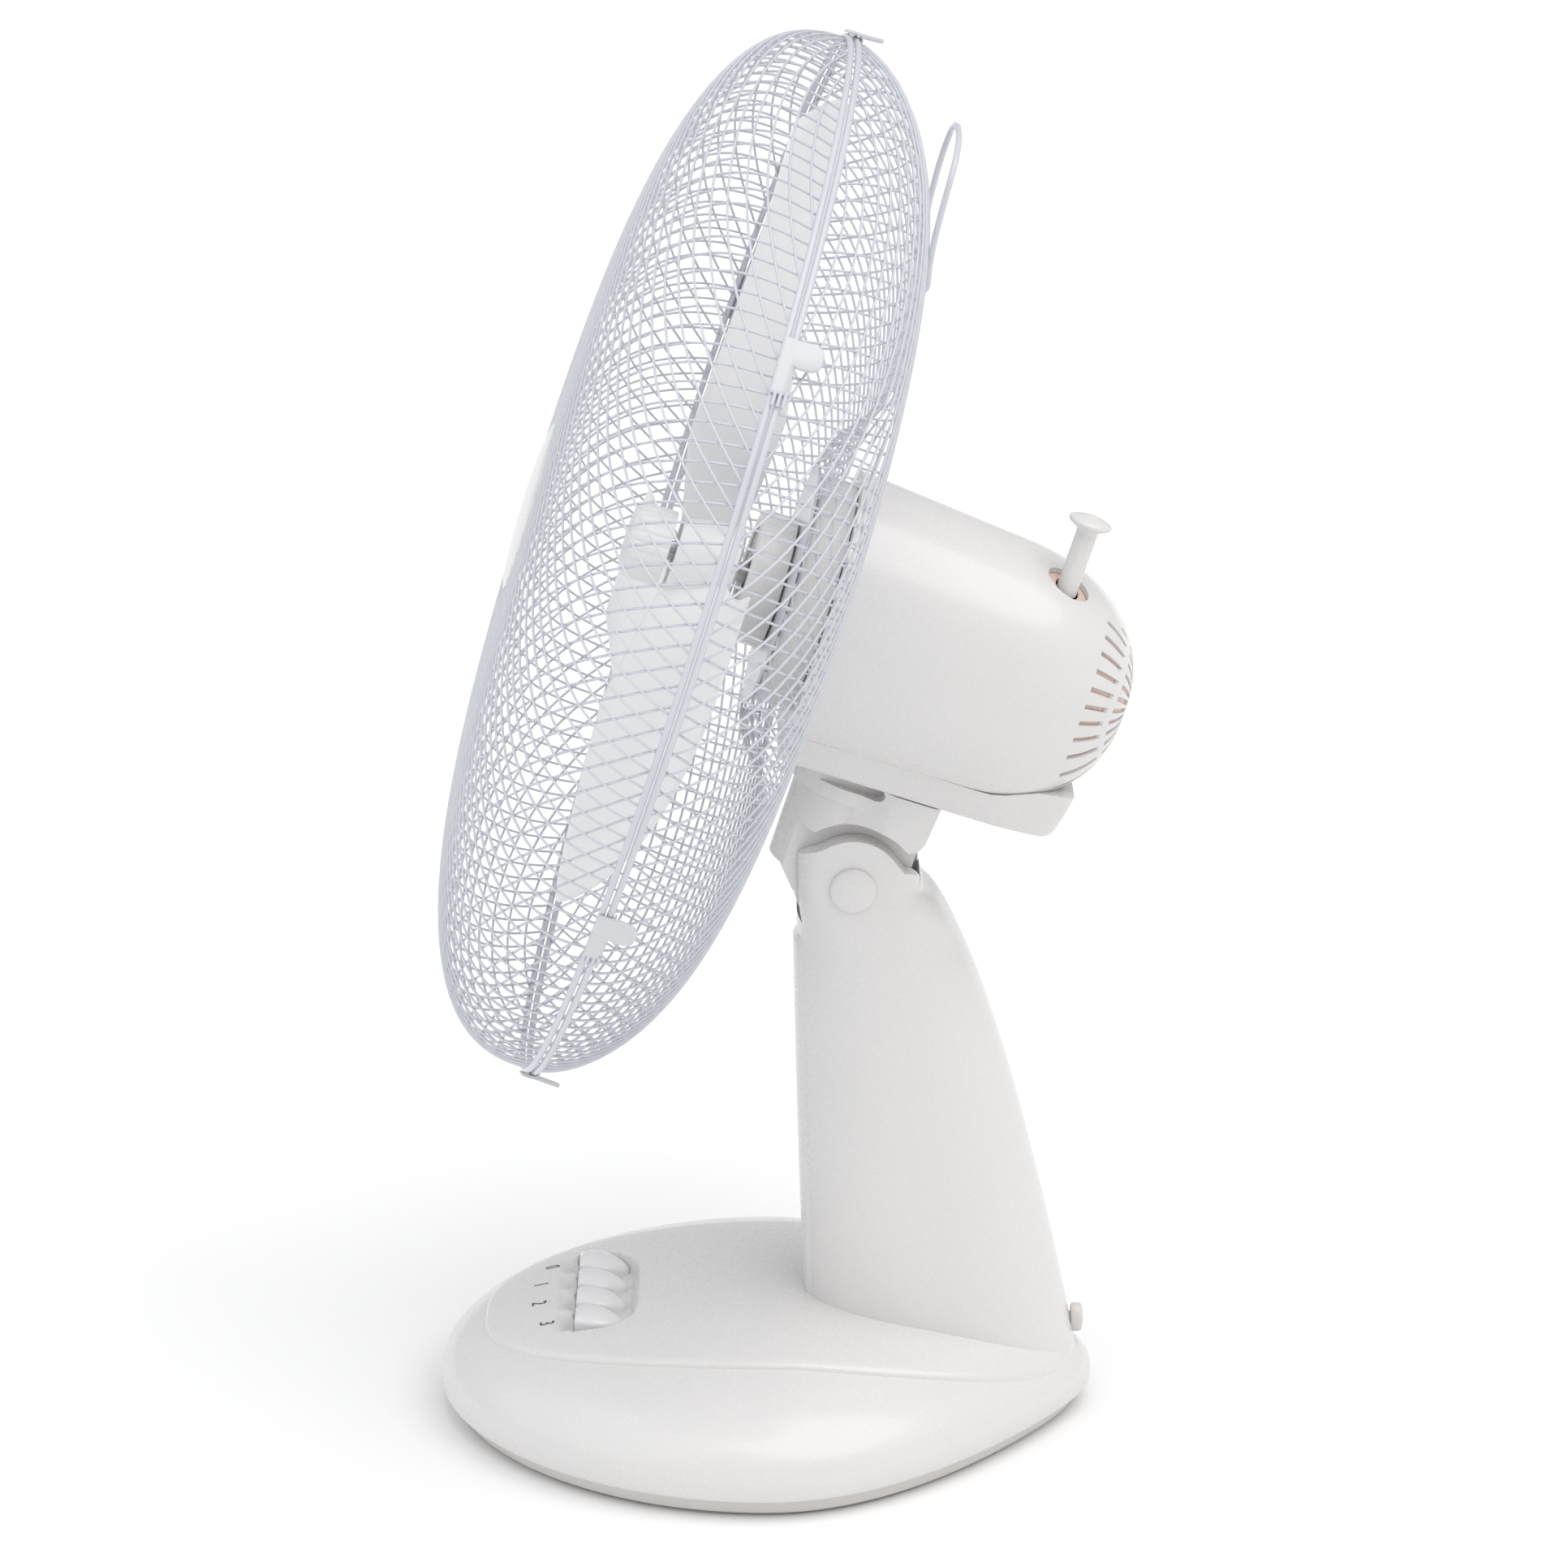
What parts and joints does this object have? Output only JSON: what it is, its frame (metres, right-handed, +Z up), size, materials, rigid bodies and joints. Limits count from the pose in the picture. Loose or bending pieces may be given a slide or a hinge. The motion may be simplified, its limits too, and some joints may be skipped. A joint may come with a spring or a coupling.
{
  "type": "desk fan",
  "caption": "Oscillating table fan: wire guards round a bladed rotor, tilting motor head on a curved column, weighted oval base with push buttons.",
  "frame": {"origin": "on the table, under the middle of the whole fan (bottom centre of its box at rest)", "axes": "+Z up, -Y the way the fan blows, +X to the side, metres"},
  "size_m": [0.4296, 0.2831, 0.5752],
  "materials": {
    "white_plastic": "glossy ABS, pure white",
    "warm_white_plastic": "satin ABS, slightly warm white",
    "blade_plastic": "polished polypropylene, cool white",
    "coated_wire": "steel wire, white powder coat",
    "steel": "bright drawn steel",
    "cast_iron": "as cast",
    "lamination_steel": "stacked sheet edges",
    "enamelled_winding": "varnished copper wire",
    "bearing_bronze": "sintered bronze",
    "gear_nylon": "natural nylon",
    "diecast": "as die cast",
    "rubber": "moulded, matt",
    "black_plastic": "moulded, matt"
  },
  "bodies": {
    "base": {"base_shell": "white_plastic", "base_deck": "white_plastic", "base_pan": "warm_white_plastic", "ballast_plate": "cast_iron", "rubber_foot_front_left": "rubber", "rubber_foot_front_right": "rubber", "rubber_foot_rear_left": "rubber", "rubber_foot_rear_right": "rubber", "switch_block": "black_plastic", "run_capacitor": "black_plastic", "column": "white_plastic", "column_front_cover": "white_plastic", "column_lock_screw": "warm_white_plastic", "pivot_cap_right": "white_plastic", "pivot_cap_left": "white_plastic", "pivot_bolt": "steel"},
    "tilt": {"tilt_bracket": "white_plastic"},
    "link": {"link_arm": "steel"},
    "head": {"motor_shell": "white_plastic", "motor_lower_cover": "white_plastic", "motor_front_cover": "white_plastic", "stator": "lamination_steel", "winding_front": "enamelled_winding", "winding_rear": "enamelled_winding", "end_bell_front": "diecast", "end_bell_rear": "diecast", "bearing_front": "bearing_bronze", "bearing_rear": "bearing_bronze", "gear_case": "diecast", "swivel_pin": "steel", "front_guard": "coated_wire", "rear_guard": "coated_wire", "front_guard_ring": "coated_wire", "rear_guard_ring": "coated_wire", "front_badge": "white_plastic", "guard_mount_ring": "steel", "guard_nut": "white_plastic", "carry_handle": "coated_wire"},
    "rotor": {"motor_shaft": "steel", "rotor": "lamination_steel", "worm": "steel", "fan_blade": "blade_plastic", "spinner_nut": "blade_plastic"},
    "wheel": {"worm_wheel": "gear_nylon"},
    "knob": {"oscillation_knob": "white_plastic", "clutch_shaft": "steel"},
    "crank": {"crank_gear": "gear_nylon", "crank_disc": "steel"},
    "button_0": {"button_0": "white_plastic"},
    "button_1": {"button_1": "white_plastic"},
    "button_2": {"button_2": "white_plastic"},
    "button_3": {"button_3": "white_plastic"},
    "clip_0": {"guard_clip_0": "white_plastic"},
    "clip_1": {"guard_clip_1": "white_plastic"},
    "clip_2": {"guard_clip_2": "white_plastic"},
    "clip_3": {"guard_clip_3": "white_plastic"},
    "clip_4": {"guard_clip_4": "white_plastic"},
    "clip_5": {"guard_clip_5": "white_plastic"}
  },
  "joints": [
    {"name": "head_tilt", "type": "hinge", "parent": "base", "child": "tilt", "pos_m": [0, 0.02969, 0.2354], "axis": [1, 0, 0], "range_deg": [0, 25]},
    {"name": "osc_swivel", "type": "hinge", "parent": "tilt", "child": "head", "pos_m": [0, 0.03165, 0.28156], "axis": [0, 0.309, 0.9511], "range_deg": [-40, 40]},
    {"name": "blade_spin", "type": "hinge", "parent": "head", "child": "rotor", "pos_m": [0, -0.037, 0.368], "axis": [0, -0.9511, 0.309], "continuous": true},
    {"name": "worm_wheel_spin", "type": "hinge", "parent": "head", "child": "wheel", "pos_m": [0.018, 0.10185, 0.32288], "axis": [0, 0.309, 0.9511], "continuous": true},
    {"name": "osc_knob", "type": "slide", "parent": "head", "child": "knob", "axis": [0, 0.309, 0.9511], "range_m": [-0.008, 0]},
    {"name": "crank_turn", "type": "hinge", "parent": "head", "child": "crank", "pos_m": [0.01, 0.08759, 0.32752], "axis": [0, 0.309, 0.9511], "range_deg": [-90, 90]},
    {"name": "link_swing", "type": "hinge", "parent": "tilt", "child": "link", "pos_m": [0.016, 0.0505, 0.33957], "axis": [0, 0.309, 0.9511], "range_deg": [-40, 40]},
    {"name": "button_press_0", "type": "slide", "parent": "base", "child": "button_0", "axis": [0, 0, 1], "range_m": [-0.004, 0], "stiffness_N_per_m": 300},
    {"name": "button_press_1", "type": "slide", "parent": "base", "child": "button_1", "axis": [0, 0, 1], "range_m": [-0.004, 0], "stiffness_N_per_m": 300},
    {"name": "button_press_2", "type": "slide", "parent": "base", "child": "button_2", "axis": [0, 0, 1], "range_m": [-0.004, 0], "stiffness_N_per_m": 300},
    {"name": "button_press_3", "type": "slide", "parent": "base", "child": "button_3", "axis": [0, 0, 1], "range_m": [-0.004, 0], "stiffness_N_per_m": 300},
    {"name": "clip_open_0", "type": "hinge", "parent": "head", "child": "clip_0", "pos_m": [-0.03159, 0.02679, 0.5695], "axis": [0.989, 0.0457, 0.1406], "range_deg": [0, 60]},
    {"name": "clip_open_1", "type": "hinge", "parent": "head", "child": "clip_1", "pos_m": [0.17289, 0.00029, 0.48796], "axis": [0.5878, -0.25, -0.7694], "range_deg": [0, 60]},
    {"name": "clip_open_2", "type": "hinge", "parent": "head", "child": "clip_2", "pos_m": [0.19207, -0.06747, 0.2794], "axis": [-0.4384, -0.2777, -0.8548], "range_deg": [0, 60]},
    {"name": "clip_open_3", "type": "hinge", "parent": "head", "child": "clip_3", "pos_m": [0.07309, -0.10058, 0.17751], "axis": [-0.9397, -0.1057, -0.3253], "range_deg": [0, 60]},
    {"name": "clip_open_4", "type": "hinge", "parent": "head", "child": "clip_4", "pos_m": [-0.14299, -0.0876, 0.21746], "axis": [-0.7431, 0.2068, 0.6364], "range_deg": [0, 60]},
    {"name": "clip_open_5", "type": "hinge", "parent": "head", "child": "clip_5", "pos_m": [-0.20542, -0.02032, 0.42452], "axis": [0.2756, 0.297, 0.9142], "range_deg": [0, 60]}
  ],
  "couplings": [
    {"joint": "worm_wheel_spin", "follows": "blade_spin", "ratio": 0.05},
    {"joint": "crank_turn", "follows": "osc_swivel", "ratio": 2.25},
    {"joint": "link_swing", "follows": "osc_swivel", "ratio": 1}
  ]
}
